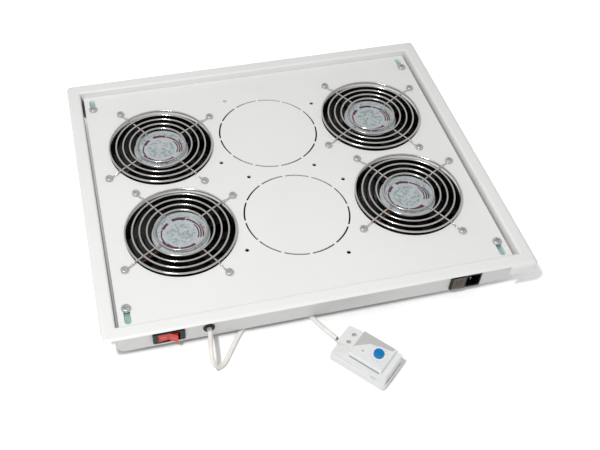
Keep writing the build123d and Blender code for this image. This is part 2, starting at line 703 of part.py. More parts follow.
def inlet_housing():
    """Flanged inlet with a socket well on the right and a drawer slot on the left."""
    front = WALL_OUT_Y - BEZEL_T
    body = wall_block(INLET_X, FITTINGS_Z, INLET_W, INLET_H, front, WALL_OUT_Y, INLET_R)
    body = fillet(body.faces().sort_by(Axis.Y)[0].edges(), BEZEL_T / 3)
    back = WALL_OUT_Y + INLET_BODY_D
    body += wall_block(INLET_X, FITTINGS_Z, INLET_BODY_W, INLET_BODY_H, WALL_OUT_Y, back, INLET_R)
    floor = front + SOCKET_DEEP
    body -= wall_block(INLET_X + SOCKET_X, FITTINGS_Z, SOCKET_W, SOCKET_H, front, floor, SOCKET_R)
    slot_w = DRAWER_W + 2 * DRAWER_CLEAR
    slot_h = DRAWER_H + 2 * DRAWER_CLEAR
    deep = front + DRAWER_DEEP + DRAWER_CLEAR
    slot = Pos(INLET_X + DRAWER_X, (front + deep) / 2, FITTINGS_Z) * Box(slot_w, deep - front, slot_h)
    body -= slot
    for x, z in contact_places():
        hole = Pos(x, back - CONTACT_TAB / 2, z) * Box(CONTACT_W, 4 * INLET_BODY_D, CONTACT_H)
        body -= hole
    return body


def contact_places():
    """Two upper contacts side by side and the earth contact below them."""
    x = INLET_X + SOCKET_X
    half = CONTACT_PITCH / 2
    high = FITTINGS_Z + CONTACT_RISE
    return [(x - half, high), (x + half, high), (x, FITTINGS_Z - CONTACT_DROP)]


def inlet_contacts():
    floor = WALL_OUT_Y - BEZEL_T + SOCKET_DEEP
    front = floor - CONTACT_OUT
    back = WALL_OUT_Y + INLET_BODY_D + CONTACT_TAB
    pins = []
    for x, z in contact_places():
        pin = Pos(x, (front + back) / 2, z) * Box(CONTACT_W, back - front, CONTACT_H)
        pins.append(fillet(pin.faces().sort_by(Axis.Y)[0].edges(), CONTACT_W / 4))
    return Compound(children=pins)


def fuse_drawer():
    """Sliding fuse carrier with a ribbed face and an open cradle."""
    front = WALL_OUT_Y - BEZEL_T
    x = INLET_X + DRAWER_X
    body = Pos(x, front + DRAWER_DEEP / 2, FITTINGS_Z) * Box(DRAWER_W, DRAWER_DEEP, DRAWER_H)
    start = front + DRAWER_NOSE
    cut_w = DRAWER_W - 2 * DRAWER_WALL
    low = FITTINGS_Z - FUSE_R
    top = FITTINGS_Z + DRAWER_H / 2
    body -= Pos(x, start + CRADLE_L / 2, (low + top) / 2) * Box(cut_w, CRADLE_L, top - low)
    face = wall_block(x, FITTINGS_Z, DRAWER_FACE_W, DRAWER_FACE_H, front - DRAWER_FACE_T, front, BEZEL_R / 2)
    body += face
    for i in range(DRAWER_RIBS):
        step = (i - (DRAWER_RIBS - 1) / 2) * DRAWER_FACE_W / (DRAWER_RIBS + 1)
        rib_y = front - DRAWER_FACE_T - DRAWER_RIB_OUT / 2
        body += Pos(x + step, rib_y, FITTINGS_Z) * Box(DRAWER_RIB_W, DRAWER_RIB_OUT, DRAWER_RIB_L)
    return body


def fuse():
    middle = WALL_OUT_Y - BEZEL_T + DRAWER_NOSE + CRADLE_L / 2
    return Pos(INLET_X + DRAWER_X, middle, FITTINGS_Z) * Rot(90, 0, 0) * Cylinder(FUSE_R, FUSE_L)


def thermo_spot():
    return Pos(THERMO_X, THERMO_Y, 0) * Rot(0, 0, THERMO_TURN)


def side_profile(points, width):
    """Solid between two sides of the thermostat from its outline seen from the side."""
    plane = Plane((0, width / 2, 0), x_dir=(1, 0, 0), z_dir=(0, -1, 0))
    return extrude(plane * Polygon(*points, align=None), width)


def thermostat_base():
    body = slab(THERMO_L, THERMO_W, BASE_CORNER_R, 0, BASE_H)
    body -= Pos(0, 0, CLIP_T / 2) * Box(CLIP_L + 2 * CLIP_CLEAR, CLIP_W + 2 * CLIP_CLEAR, CLIP_T)
    hook = CLIP_HOOK + CLIP_CLEAR
    body -= Pos(0, 0, hook / 2) * Box(2 * CLIP_HOOK + 2 * CLIP_CLEAR, CLIP_W + 2 * CLIP_CLEAR, hook)
    return thermo_spot() * body


def thermostat_cover():
    """Moulded cover: flat top, terminal end, ramp beside it, grip grooves and latch slots."""
    half = THERMO_L / 2 - COVER_SIDE
    side = THERMO_W / 2 - COVER_SIDE
    outline = [(-half, BASE_H), (half, BASE_H), (half, COVER_H - COVER_STEP),
               (FLAT_TO + COVER_SIDE, COVER_H - COVER_STEP), (FLAT_TO, COVER_H),
               (FLAT_FROM, COVER_H), (FLAT_FROM - COVER_SIDE, COVER_H - TERMINAL_STEP),
               (-half, COVER_H - TERMINAL_DROP)]
    body = side_profile(outline, 2 * side)
    ends = body.edges().filter_by(Axis.Z).sort_by(Axis.X)[:2]
    body = fillet(ends, COVER_END_R)
    body = fillet(body.faces().sort_by(Axis.Z)[-1].edges(), COVER_R)
    ramp = side_profile([(-THERMO_L / 2, COVER_H - RAMP_DROP), (FLAT_FROM, COVER_H - RAMP_STEP),
                         (FLAT_FROM, COVER_H), (-THERMO_L / 2, COVER_H)], THERMO_W)
    body -= ramp & Pos(0, -RAMP_SIDE - THERMO_W / 2, 0) * slab(THERMO_L, THERMO_W, COVER_R, 0, COVER_H)
    grip = Box(GRIP_L, 2 * GRIP_DEEP, GRIP_H)
    latch = Box(LATCH_L, 2 * GRIP_DEEP, 2 * LATCH_H)
    for s in (-1, 1):
        body -= Pos((FLAT_FROM + FLAT_TO) / 2, s * side, COVER_H - GRIP_DROP - GRIP_H / 2) * grip
        body -= Pos(LATCH_X, s * side, BASE_H) * latch
    body -= Pos(DIAL_X, 0, 0) * rod(DIAL_STEM_R + RUN_CLEAR, COVER_H - DIAL_STEM_L - DIAL_GAP, COVER_H)
    for y in clamp_rows():
        body -= Pos(CLAMP_X, y, 0) * rod(CLAMP_HOLE_R, CLAMP_LOW, COVER_H)
    x, y, z = core_end()
    hole = Plane((-THERMO_L / 2, y, z), x_dir=(0, 1, 0), z_dir=(1, 0, 0)) * Circle(CORE_R + CORE_CLEAR)
    return thermo_spot() * (body - extrude(hole, CORE_IN + CORE_CLEAR))


def clamp_rows():
    return (CLAMP_SHIFT - CLAMP_PITCH / 2, CLAMP_SHIFT + CLAMP_PITCH / 2)


def terminal_screws():
    top = CLAMP_LOW + CLAMP_SCREW_H
    slot = Pos(0, 0, top) * Box(2 * CLAMP_SCREW_R, DIAL_SLOT_W, 2 * DIAL_SLOT_DEEP)
    one = rod(CLAMP_SCREW_R, CLAMP_LOW, top) - slot
    return Compound(children=[thermo_spot() * Pos(CLAMP_X, y, 0) * one for y in clamp_rows()])


def dial_scale():
    return thermo_spot() * Pos(DIAL_X, 0, 0) * ring(SCALE_R, DIAL_R + DIAL_GAP, COVER_H, COVER_H + SCALE_T)


def thermostat_dial():
    low = COVER_H + DIAL_GAP
    body = rod(DIAL_R, low, low + DIAL_H)
    body = fillet(body.faces().sort_by(Axis.Z)[-1].edges(), DIAL_SLOT_DEEP)
    body -= Pos(0, 0, low + DIAL_H) * Box(2 * DIAL_R, DIAL_SLOT_W, 2 * DIAL_SLOT_DEEP)
    body += rod(DIAL_STEM_R, low - DIAL_STEM_L, low)
    return thermo_spot() * Pos(DIAL_X, 0, 0) * body


def rail_clip():
    """Flat latch that lies in the underside of the thermostat."""
    body = Pos(0, 0, CLIP_T / 2) * Box(CLIP_L, CLIP_W, CLIP_T)
    return thermo_spot() * (body + Pos(0, 0, CLIP_HOOK / 2) * Box(2 * CLIP_HOOK, CLIP_W, CLIP_HOOK))


def cable_radii(points):
    """Bend at each inner point: less than half of the shorter run on either side."""
    radii = []
    for a, b, c in zip(points, points[1:], points[2:]):
        first = Vector(*b) - Vector(*a)
        second = Vector(*c) - Vector(*b)
        turn = math.radians(first.get_angle(second))
        radii.append(RUN_SHARE * min(first.length, second.length) / math.tan(turn / 2))
    return radii


def control_cable():
    radii = cable_radii(CABLE_POINTS)
    print("cable radii", [round(r, 1) for r in radii])
    line = FilletPolyline(*CABLE_POINTS, radius=radii)
    body = sweep(Plane(line @ 0, z_dir=line % 0) * Circle(CABLE_R), path=line)
    share = body.volume / (math.pi * CABLE_R**2 * line.length)
    print("cable length", round(line.length, 1), "volume share", round(share, 4))
    return body


def core_end():
    """Where the bare core enters the thermostat, in the thermostat's own axes."""
    here = thermo_spot().inverse() * Pos(*CABLE_POINTS[-1])
    return here.position.X, here.position.Y, here.position.Z


def cable_core():
    """Bare end of the core, from the cut sheath into the terminal."""
    x, y, z = core_end()
    end = Pos(*CABLE_POINTS[-1]).position
    inside = (thermo_spot() * Pos(-THERMO_L / 2 + CORE_IN, y, z)).position
    core = Line(end, inside)
    return extrude(Plane(end, z_dir=core % 0) * Circle(CORE_R), core.length)


def build_all():
    nodes = {
        "mounting_frame": mounting_frame(),
        "fan_plate": fan_plate(),
        "corner_screws": corner_screws(),
        "corner_nuts": corner_nuts(),
        "fan_leads": fan_leads(),
        "guard_screws": guard_screws(),
        "guard_nuts": guard_nuts(),
        "switch_body": switch_body(),
        "switch_rocker": switch_rocker(),
        "switch_terminals": switch_terminals(),
        "cable_grommet": cable_grommet(),
        "inlet_housing": inlet_housing(),
        "inlet_contacts": inlet_contacts(),
        "fuse_drawer": fuse_drawer(),
        "fuse": fuse(),
        "control_cable": control_cable(),
        "cable_core": cable_core(),
        "thermostat_base": thermostat_base(),
        "thermostat_cover": thermostat_cover(),
        "terminal_screws": terminal_screws(),
        "dial_scale": dial_scale(),
        "thermostat_dial": thermostat_dial(),
        "rail_clip": rail_clip(),
    }
    pieces = {
        "fan_housing": fan_housing(),
        "fan_rotor": fan_rotor(),
        "fan_shaft": fan_shaft(),
        "fan_bearings": fan_bearings(),
        "fan_stator": fan_stator(),
        "hub_cover": hub_cover(),
        "finger_guard": finger_guard(),
    }
    for number, place in enumerate(FAN_PLACES, start=1):
        for name, piece in pieces.items():
            nodes[f"{name}_{number}"] = fan_spot(place) * piece
    return nodes


os.makedirs("parts", exist_ok=True)
for name, shape in build_all().items():
    export_step(shape, f"parts/{name}.step")
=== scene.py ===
import math

import bpy
from mathutils import Matrix, Vector


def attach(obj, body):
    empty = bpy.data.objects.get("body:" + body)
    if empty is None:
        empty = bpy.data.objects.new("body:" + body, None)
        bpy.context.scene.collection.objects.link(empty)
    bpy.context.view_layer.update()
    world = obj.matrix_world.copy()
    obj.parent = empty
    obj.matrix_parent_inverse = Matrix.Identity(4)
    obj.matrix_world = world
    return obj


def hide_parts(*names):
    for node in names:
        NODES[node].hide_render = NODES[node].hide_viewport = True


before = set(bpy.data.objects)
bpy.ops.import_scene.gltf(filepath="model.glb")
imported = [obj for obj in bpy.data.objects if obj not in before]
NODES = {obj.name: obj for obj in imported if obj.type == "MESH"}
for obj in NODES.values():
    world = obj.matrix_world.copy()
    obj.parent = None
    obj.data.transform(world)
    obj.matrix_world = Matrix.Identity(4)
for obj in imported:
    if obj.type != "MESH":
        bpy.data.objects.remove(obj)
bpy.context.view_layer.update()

MM = 0.001

# Places of the pieces that carry a pattern
FAN_CENTRES = [(-0.126, 0.0672), (0.126, 0.0672), (-0.126, -0.0628), (0.126, -0.0628)]
THERMOSTAT = Vector((0.0247, -0.2343, 0.0))
THERMOSTAT_TURN = math.radians(-49.5)
DIAL_ALONG = 0.012
DIAL_PLACE = Vector((DIAL_ALONG * math.cos(THERMOSTAT_TURN), DIAL_ALONG * math.sin(THERMOSTAT_TURN), 0.0))
ROCKER_PIVOT = Vector((-0.158, -0.171, 0.019))
ROCKER_TILT = math.radians(-12.0)
ROCKER_SLOPE = math.radians(15.15)

# Camera, in metres and in pixels of the photograph
CAMERA_PLACE = (-0.1936, -0.6370, 0.7185)
CAMERA_AHEAD = (0.1781, 0.6417, -0.7460)
CAMERA_UP = (0.1605, 0.7290, 0.6654)
PHOTO_WIDTH = 600
FOCAL_LENGTH = 847.793
SHIFT_RIGHT = 33.653
SHIFT_UP = -13.946
SENSOR_WIDTH = 36.0
NEAR_CLIP = 0.02


def photo_camera():
    """Camera at the photograph's viewing angle."""
    forward = Vector(CAMERA_AHEAD).normalized()
    right = forward.cross(Vector(CAMERA_UP)).normalized()
    up = right.cross(forward)
    turn = Matrix((right, up, -forward)).transposed().to_4x4()
    data = bpy.data.cameras.new("photo_camera")
    data.sensor_width = SENSOR_WIDTH
    data.lens = FOCAL_LENGTH / PHOTO_WIDTH * SENSOR_WIDTH
    data.shift_x = SHIFT_RIGHT / PHOTO_WIDTH
    data.shift_y = SHIFT_UP / PHOTO_WIDTH
    data.clip_start = NEAR_CLIP
    camera = bpy.data.objects.new("photo_camera", data)
    camera.matrix_world = Matrix.Translation(CAMERA_PLACE) @ turn
    bpy.context.scene.collection.objects.link(camera)
    bpy.context.scene.camera = camera


photo_camera()


# Material building blocks

GRAIN_DEPTH = 0.0002


class Finish:
    """One procedural material: a shader with its pattern nodes on object coordinates."""

    def __init__(self, name, colour, roughness, metal=0.0):
        self.material = bpy.data.materials.new(name)
        self.material.use_nodes = True
        self.tree = self.material.node_tree
        self.tree.nodes.clear()
        self.output = self.add("ShaderNodeOutputMaterial")
        self.shader = self.add("ShaderNodeBsdfPrincipled")
        self.tree.links.new(self.shader.outputs[0], self.output.inputs[0])
        self.place = self.add("ShaderNodeTexCoord").outputs["Object"]
        self.colour = colour
        self.set("Base Color", (*colour, 1.0))
        self.set("Roughness", roughness)
        self.set("Metallic", metal)

    def add(self, kind, **settings):
        node = self.tree.nodes.new(kind)
        for key, value in settings.items():
            setattr(node, key, value)
        return node

    def feed(self, socket, value):
        if isinstance(value, bpy.types.NodeSocket):
            self.tree.links.new(value, socket)
        elif value is not None:
            socket.default_value = value

    def set(self, socket, value):
        self.feed(self.shader.inputs[socket], value)

    def math(self, operation, a, b=None, c=None):
        node = self.add("ShaderNodeMath", operation=operation)
        for socket, value in zip(node.inputs, (a, b, c)):
            self.feed(socket, value)
        return node.outputs[0]

    def above(self, value, limit):
        return self.math("GREATER_THAN", value, limit)

    def under(self, value, limit):
        return self.math("LESS_THAN", value, limit)

    def around(self, value, middle, half):
        return self.under(self.math("ABSOLUTE", self.math("SUBTRACT", value, middle)), half)

    def both(self, first, *others):
        """What every one of these masks covers."""
        for other in others:
            first = self.math("MULTIPLY", first, other)
        return first

    def between(self, value, ends):
        low, high = ends
        return self.both(self.above(value, low), self.under(value, high))

    def distance(self, x, y, middle=(0.0, 0.0)):
        """Distance from an upright axis."""
        along = self.math("SUBTRACT", x, middle[0])
        across = self.math("SUBTRACT", y, middle[1])
        squares = self.math("ADD", self.math("MULTIPLY", along, along), self.math("MULTIPLY", across, across))
        return self.math("SQRT", squares)

    def mix(self, share, a, b):
        node = self.add("ShaderNodeMix", data_type="RGBA")
        self.feed(node.inputs[0], share)
        self.feed(node.inputs[6], (*a, 1.0) if isinstance(a, tuple) else a)
        self.feed(node.inputs[7], (*b, 1.0) if isinstance(b, tuple) else b)
        return node.outputs[2]

    def lay_over(self, base, colour, mask, cover):
        """Colour laid over a base where a mask says so, covering it in part."""
        return self.mix(self.math("MULTIPLY", mask, cover), base, colour)

    def span(self, value, low, high, to_low=0.0, to_high=1.0):
        node = self.add("ShaderNodeMapRange", clamp=True)
        for socket, item in zip(node.inputs, (value, low, high, to_low, to_high)):
            self.feed(socket, item)
        return node.outputs[0]

    def noise(self, scale, detail=3.0):
        node = self.add("ShaderNodeTexNoise")
        self.feed(node.inputs["Vector"], self.place)
        self.feed(node.inputs["Scale"], scale)
        self.feed(node.inputs["Detail"], detail)
        return node.outputs[0]

    def local(self, origin, turn=0.0):
        """Coordinates measured from a place on the object, turned with it."""
        node = self.add("ShaderNodeMapping", vector_type="TEXTURE")
        self.feed(node.inputs["Vector"], self.place)
        self.feed(node.inputs["Location"], tuple(origin))
        self.feed(node.inputs["Rotation"], (0.0, 0.0, turn))
        return node.outputs[0]

    def axes(self, place):
        node = self.add("ShaderNodeSeparateXYZ")
        self.feed(node.inputs[0], place)
        return node.outputs

    def bump(self, height, strength):
        node = self.add("ShaderNodeBump")
        self.feed(node.inputs["Strength"], strength)
        self.feed(node.inputs["Distance"], GRAIN_DEPTH)
        self.feed(node.inputs["Height"], height)
        self.set("Normal", node.outputs[0])

    def mottle(self, scale, depth):
        """Base colour that varies a little from place to place."""
        dark = tuple(c * (1.0 - depth) for c in self.colour)
        shade = self.mix(self.span(self.noise(scale), low=0.35, high=0.65), dark, self.colour)
        self.set("Base Color", shade)
        return shade

    def vary_roughness(self, scale, low, high):
        grain = self.noise(scale, detail=4.0)
        self.set("Roughness", self.span(grain, low=0.3, high=0.7, to_low=low, to_high=high))


# Painted sheet

SEAM_START_X = 0.2070
SEAM_START_Y = 0.1715
SEAM_SLOPE = 1.067
SEAM_HALF_WIDTH = 0.00035
SEAM_RIM = 0.0012
FLANGE_LOW = 0.0440
SEAM_COLOUR = (0.55, 0.55, 0.54)


def sheet_paint():
    """Light grey powder coat with fine orange peel and a faint mitre seam at each flange corner."""
    f = Finish("light_grey_powder_coat", (0.775, 0.775, 0.765), roughness=0.42)
    coat = f.mottle(scale=14.0, depth=0.02)
    x, y, z = f.axes(f.place)
    across = f.math("SUBTRACT", f.math("ABSOLUTE", x), SEAM_START_X)
    along = f.math("SUBTRACT", f.math("ABSOLUTE", y), SEAM_START_Y)
    line = f.around(f.math("MULTIPLY", across, SEAM_SLOPE), along, SEAM_HALF_WIDTH)
    seam = f.both(line, f.above(across, SEAM_RIM), f.above(z, FLANGE_LOW))
    f.set("Base Color", f.lay_over(coat, SEAM_COLOUR, seam, cover=0.3))
    f.vary_roughness(scale=60.0, low=0.36, high=0.48)
    f.bump(f.noise(scale=1400.0, detail=2.0), strength=0.12)
    f.set("Specular IOR Level", 0.4)
    return f.material


# Metals and mouldings

def plated_wire():
    f = Finish("bright_plated_wire", (0.82, 0.79, 0.76), roughness=0.16, metal=1.0)
    f.vary_roughness(scale=300.0, low=0.12, high=0.22)
    f.mottle(scale=120.0, depth=0.10)
    return f.material


def bare_metal(name, colour, metal=1.0, low=0.22, high=0.42):
    f = Finish(name, colour, low, metal)
    f.mottle(scale=500.0, depth=0.14)
    f.vary_roughness(700.0, low, high)
    return f.material


def moulding(name, colour, low, high, grain=1800.0, depth=0.15, gloss=0.5):
    """Moulded plastic with a faint spark-eroded grain."""
    f = Finish(name, colour, low)
    f.mottle(scale=90.0, depth=0.06)
    f.vary_roughness(250.0, low, high)
    f.bump(f.noise(grain, detail=2.0), depth)
    f.set("Specular IOR Level", gloss)
    return f.material


SHEET_PITCH = 0.0005


def laminations():
    """Stacked steel sheets of the motor, seen edge on."""
    f = Finish("motor_laminations", (0.22, 0.20, 0.18), roughness=0.5, metal=0.7)
    z = f.axes(f.place)[2]
    f.bump(f.math("SINE", f.math("MULTIPLY", z, math.tau / SHEET_PITCH)), strength=0.4)
    f.mottle(scale=200.0, depth=0.25)
    return f.material


# Printed motor cover. Arcs: distance from the shaft, half width, middle angle and half angle

COVER_ARCS = [
    (0.0206, 0.0021, -127.0, 20.0), (0.0208, 0.0023, -78.0, 24.0), (0.0208, 0.0018, 88.0, 20.0),
    (0.0200, 0.0016, 138.0, 14.0), (0.0205, 0.0008, 180.0, 26.0), (0.0186, 0.0007, 2.0, 30.0),
    (0.0212, 0.0008, 8.0, 34.0), (0.0235, 0.0007, 0.0, 22.0), (0.0206, 0.0010, 50.0, 16.0),
    (0.0212, 0.0016, -155.0, 7.0),
]
COVER_LINES = [(0.0257, 0.0004), (0.0293, 0.0003)]
COVER_BAND = (0.0245, 0.0022)
COVER_CORE_R = 0.0150
PRINT_WANDER = 0.0008
MAROON_PRINT = (0.105, 0.014, 0.040)
LINE_GREY = (0.34, 0.38, 0.38)
PATCH_GREY = (0.20, 0.26, 0.25)


def hub_print(centre):
    """Silver motor cover with a broken maroon ring, fine grey lines and mottled grey marks printed on it."""
    f = Finish("silver_motor_cover", (0.53, 0.58, 0.60), roughness=0.36, metal=0.25)
    x, y, z = f.axes(f.local((*centre, 0.0)))
    radius = f.distance(x, y)
    angle = f.math("ARCTAN2", y, x)
    silver = f.mottle(scale=160.0, depth=0.12)
    wander = f.math("MULTIPLY_ADD", f.noise(scale=180.0, detail=2.0), 2 * PRINT_WANDER, -PRINT_WANDER)
    drift = f.math("ADD", radius, wander)
    arcs = 0.0
    for distance, half, middle, reach in COVER_ARCS:
        turned = f.math("WRAP", f.math("SUBTRACT", angle, math.radians(middle)), math.pi, -math.pi)
        piece = f.both(f.around(drift, distance, half), f.around(turned, 0.0, math.radians(reach)))
        arcs = f.math("MAXIMUM", piece, arcs)
    lines = f.math("MAXIMUM", *(f.around(radius, middle, half) for middle, half in COVER_LINES))
    patches = f.span(f.noise(scale=330.0, detail=2.5), low=0.49, high=0.56)
    core = f.both(f.under(radius, COVER_CORE_R), patches)
    specks = f.span(f.noise(scale=300.0, detail=2.0), low=0.52, high=0.60)
    band = f.both(f.around(radius, *COVER_BAND), specks)
    shade = f.lay_over(silver, LINE_GREY, lines, cover=0.55)
    shade = f.lay_over(shade, PATCH_GREY, f.math("MAXIMUM", core, band), cover=0.62)
    f.set("Base Color", f.lay_over(shade, MAROON_PRINT, arcs, cover=0.95))
    f.vary_roughness(scale=200.0, low=0.30, high=0.44)
    return f.material


# Thermostat, in its own axes

COVER_TOP = 0.0268
COVER_SIDE = 0.0142
WEDGE_ENDS = (-0.0125, 0.0215)
WEDGE_LOW = -0.0065
WEDGE_EDGE_SLOPE = 0.98
WEDGE_EDGE_START = 0.0063
WEDGE_STEP_SLOPE = 0.25
WEDGE_STEP_START = 0.0058
WEDGE_GREY = (0.47, 0.47, 0.455)
GRIP_ENDS = (-0.0110, 0.0220)
GRIP_HEIGHTS = (0.0214, 0.0239)
LATCH_ENDS = (0.0147, 0.0203)
LATCH_HEIGHTS = (0.0090, 0.0109)
GROOVE_PAINTED_SHADE = (0.22, 0.22, 0.21)
STUD_PLACE = (-0.0025, -0.0052)
STUD_R = 0.001265
STUD_GREY = (0.32, 0.32, 0.31)


def thermostat_shell():
    """Pale moulding with a plain grey wedge and a small stud on top, and painted shade in the grooves of its
    sides.
    """
    f = Finish("pale_thermostat_shell", (0.72, 0.73, 0.72), roughness=0.38)
    pale = f.mottle(scale=120.0, depth=0.04)
    x, y, z = f.axes(f.local(THERMOSTAT, THERMOSTAT_TURN))
    top = f.above(z, COVER_TOP)
    edge = f.above(f.math("MULTIPLY_ADD", x, -WEDGE_EDGE_SLOPE, y), WEDGE_EDGE_START)
    step = f.above(y, f.math("MULTIPLY_ADD", x, WEDGE_STEP_SLOPE, WEDGE_STEP_START))
    wedge = f.both(f.math("MAXIMUM", edge, step), top, f.between(x, WEDGE_ENDS), f.above(y, WEDGE_LOW))
    side = f.above(f.math("ABSOLUTE", y), COVER_SIDE)
    # Painted shade: the grip groove and the latch slot in the sides are coloured darker, as if lying in
    # shade.
    grip_shade = f.both(side, f.between(x, GRIP_ENDS), f.between(z, GRIP_HEIGHTS))
    latch_shade = f.both(side, f.between(x, LATCH_ENDS), f.between(z, LATCH_HEIGHTS))
    stud = f.both(f.under(f.distance(x, y, STUD_PLACE), STUD_R), top)
    shade = f.mix(wedge, pale, WEDGE_GREY)
    shade = f.lay_over(shade, GROOVE_PAINTED_SHADE, f.math("MAXIMUM", grip_shade, latch_shade), cover=0.75)
    f.set("Base Color", f.lay_over(shade, STUD_GREY, stud, cover=0.7))
    f.vary_roughness(scale=250.0, low=0.32, high=0.46)
    f.bump(f.noise(scale=1600.0, detail=2.0), strength=0.12)
    return f.material


DIAL_DIVISIONS = 24
MARK_SHARE = 0.10
MARK_START_R = 0.0068
MARK_GREY = (0.22, 0.22, 0.23)


def dial_ring():
    """Ring of the dial plate with plain division marks."""
    f = Finish("white_dial_ring", (0.82, 0.83, 0.84), roughness=0.34)
    x, y, z = f.axes(f.local(THERMOSTAT + DIAL_PLACE, THERMOSTAT_TURN))
    step = f.math("MULTIPLY", f.math("ARCTAN2", y, x), DIAL_DIVISIONS / math.tau)
    marks = f.both(f.around(step, f.math("ROUND", step), MARK_SHARE), f.above(f.distance(x, y), MARK_START_R))
    f.set("Base Color", f.mix(marks, f.mottle(scale=90.0, depth=0.04), MARK_GREY))
    return f.material


# Finishes of the pieces

PAINT = sheet_paint()
WIRE = plated_wire()
ZINC = bare_metal("bright_zinc", (0.56, 0.57, 0.57), metal=0.60, low=0.30, high=0.46)
PASSIVATED = bare_metal("blue_green_passivated_zinc", (0.40, 0.60, 0.57), metal=0.45, low=0.30, high=0.45)
TINNED = bare_metal("tinned_brass", (0.76, 0.73, 0.64))
TURNED = bare_metal("turned_steel", (0.42, 0.42, 0.42))
BLACK_FAN = moulding("black_fan_moulding", (0.004, 0.004, 0.0045), low=0.42, high=0.58, gloss=0.2)
BLACK = moulding("black_fitting_moulding", (0.010, 0.010, 0.011), low=0.32, high=0.44, gloss=0.35)
RUBBER = moulding("black_rubber", (0.018, 0.017, 0.016), low=0.55, high=0.75, grain=900.0, depth=0.3)
RED = moulding("red_rocker_moulding", (0.74, 0.030, 0.022), low=0.18, high=0.30)
BLUE = moulding("blue_dial_moulding", (0.0, 0.185, 0.470), low=0.30, high=0.42, gloss=0.3)
GREY = moulding("grey_clip_moulding", (0.38, 0.38, 0.39), low=0.40, high=0.55)
SHEATH = moulding("cream_cable_sheath", (0.80, 0.775, 0.735), low=0.36, high=0.50, grain=700.0)
BROWN = moulding("brown_wire_sheath", (0.23, 0.090, 0.040), low=0.35, high=0.48)
DRAWER = moulding("brown_grey_drawer", (0.105, 0.082, 0.066), low=0.40, high=0.52)
CERAMIC = moulding("fuse_ceramic", (0.72, 0.70, 0.64), low=0.30, high=0.42)
SHELL = thermostat_shell()
DIAL_RING = dial_ring()
PRINT = moulding("pale_mark_paint", (0.66, 0.40, 0.32), low=0.35, high=0.45)
STACK = laminations()

FINISHES = {
    "mounting_frame": PAINT, "fan_plate": PAINT,
    "corner_screws": ZINC, "corner_nuts": PASSIVATED, "guard_screws": ZINC, "guard_nuts": ZINC,
    "fan_leads": BROWN, "cable_core": BROWN,
    "switch_body": BLACK, "switch_rocker": RED, "switch_terminals": TINNED,
    "cable_grommet": RUBBER,
    "inlet_housing": BLACK, "inlet_contacts": TINNED, "fuse_drawer": DRAWER, "fuse": CERAMIC,
    "thermostat_base": SHELL, "thermostat_cover": SHELL, "dial_scale": DIAL_RING,
    "thermostat_dial": BLUE, "terminal_screws": ZINC, "rail_clip": GREY,
}
for number, centre in enumerate(FAN_CENTRES, start=1):
    FINISHES[f"fan_housing_{number}"] = BLACK_FAN
    FINISHES[f"fan_rotor_{number}"] = BLACK_FAN
    FINISHES[f"fan_shaft_{number}"] = TURNED
    FINISHES[f"fan_bearings_{number}"] = TURNED
    FINISHES[f"fan_stator_{number}"] = STACK
    FINISHES[f"hub_cover_{number}"] = hub_print(centre)
    FINISHES[f"finger_guard_{number}"] = WIRE
for name, material in FINISHES.items():
    NODES[name].data.materials.clear()
    NODES[name].data.materials.append(material)


# Control cable: points in millimetres from the grommet to the thermostat

CABLE_ROUTE = [
    (-118.3, -165.5, 20.5), (-118.3, -179.6, 20.5), (-120.4, -191.5, 25.3), (-122.6, -205.6, 28.2),
    (-122.2, -213.7, 17.2), (-117.6, -210.4, 6.4), (-110.0, -206.0, 2.4), (-101.0, -193.0, 2.4),
    (-84.1, -169.1, 2.8), (-63.4, -151.7, 2.5), (-41.2, -139.3, 2.5), (-22.3, -145.0, 2.5),
    (-15.5, -163.0, 2.5), (-9.6, -180.6, 5.0), (-4.2, -195.2, 11.0), (3.1, -207.4, 11.0),
]
CABLE_DIAMETER = 0.0047
CABLE_SIDES = 8
CABLE_STEPS = 16


def control_cable():
    curve = bpy.data.curves.new("control_cable_sheath", "CURVE")
    curve.dimensions = "3D"
    curve.bevel_depth = CABLE_DIAMETER / 2
    curve.bevel_resolution = CABLE_SIDES
    curve.resolution_u = CABLE_STEPS
    curve.use_fill_caps = True
    spline = curve.splines.new("NURBS")
    spline.points.add(len(CABLE_ROUTE) - 1)
    for point, (x, y, z) in zip(spline.points, CABLE_ROUTE):
        point.co = (x * MM, y * MM, z * MM, 1.0)
    spline.order_u = 3
    spline.use_endpoint_u = True
    cable = bpy.data.objects.new("control_cable_sheath", curve)
    curve.materials.append(SHEATH)
    bpy.context.scene.collection.objects.link(cable)
    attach(cable, "tray")
    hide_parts("control_cable")


control_cable()


# Marks on the rocker

FACE_OFF = 0.0047
FACE_OUT = 0.00448
OVAL_R = 0.0019
OVAL_STRETCH = 1.35
OVAL_LINE = 0.00065
OVAL_RAISE = 0.00012
BAR_SIZE = (0.0040, 0.0009, 0.00024)
BAR_SOFTENING = 0.00008
MERGE_DISTANCE = 0.00001


def face_frame(side):
    """Place and turn of one half of the rocker's front, seen from outside."""
    turn = ROCKER_TILT - side * ROCKER_SLOPE
    middle = Vector((side * FACE_OFF, -FACE_OUT, 0.0))
    spot = ROCKER_PIVOT + Matrix.Rotation(ROCKER_TILT, 3, "Z") @ middle
    upright = Matrix.Rotation(math.radians(90.0), 4, "X")
    return Matrix.Translation(spot) @ Matrix.Rotation(turn, 4, "Z") @ upright


def finish_mark(name, matrix):
    """Closes the mark's mesh, puts its place into it and mounts it on the rocker."""
    mark = bpy.context.object
    mark.name = name
    bpy.ops.mesh.select_all(action="SELECT")
    bpy.ops.mesh.remove_doubles(threshold=MERGE_DISTANCE)
    bpy.ops.mesh.normals_make_consistent(inside=False)
    bpy.ops.object.mode_set(mode="OBJECT")
    mark.data.transform(matrix)
    mark.data.update()
    mark.data.materials.append(PRINT)
    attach(mark, "rocker")


